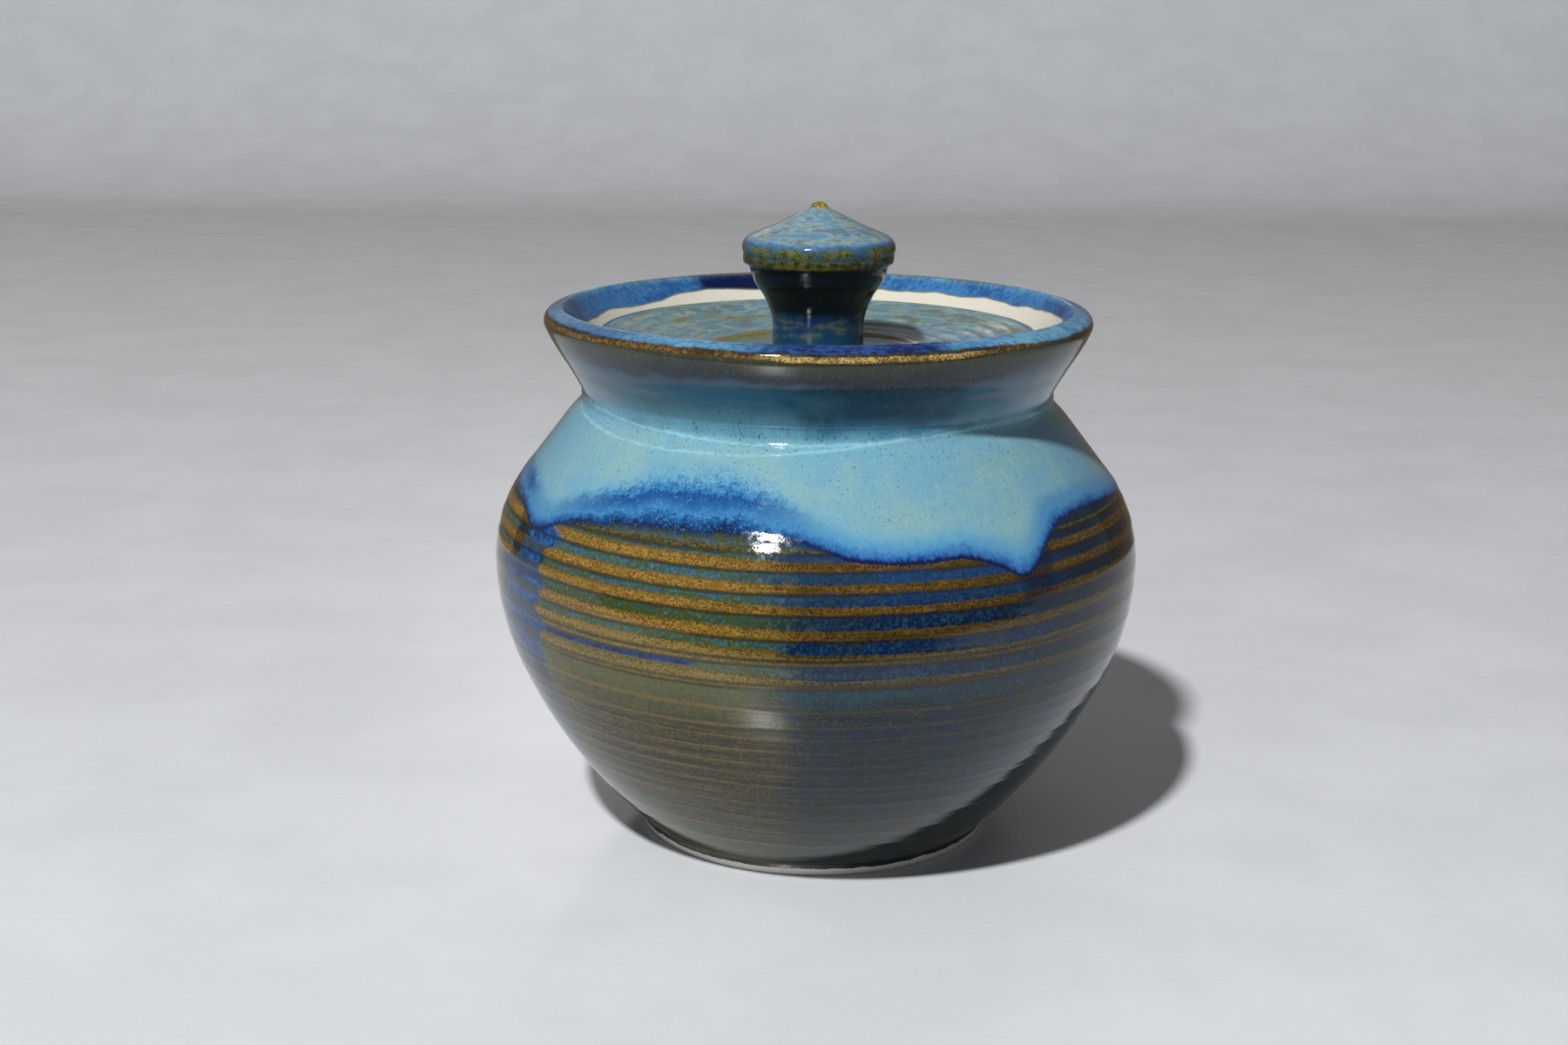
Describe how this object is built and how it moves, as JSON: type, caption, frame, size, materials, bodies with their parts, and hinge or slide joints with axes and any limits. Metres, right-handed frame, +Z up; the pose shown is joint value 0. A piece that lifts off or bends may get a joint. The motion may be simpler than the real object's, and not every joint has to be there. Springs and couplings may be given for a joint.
{
  "type": "stoneware bean pot",
  "caption": "Round stoneware bean pot with a trimmed foot, a full ringed belly, a flared collar and a dished lift-off lid with a waisted knob.",
  "frame": {"origin": "centre of the pot, on the plane that the foot ring stands on", "axes": "+Z up along the axis that the pot was turned about, from the foot to the knob; X and Y are level and alike, because every piece is round"},
  "size_m": [0.1724, 0.1724, 0.1693],
  "materials": {
    "pot_glaze": "glossy",
    "lid_glaze": "glossy",
    "knob_glaze": "glossy"
  },
  "bodies": {
    "pot": {"pot_body": "pot_glaze"},
    "lid": {"lid_plate": "lid_glaze", "lid_knob": "knob_glaze"}
  },
  "joints": [
    {"name": "lid_lift", "type": "slide", "parent": "pot", "child": "lid", "axis": [0, 0, 1], "range_m": [0, 0.06]}
  ]
}
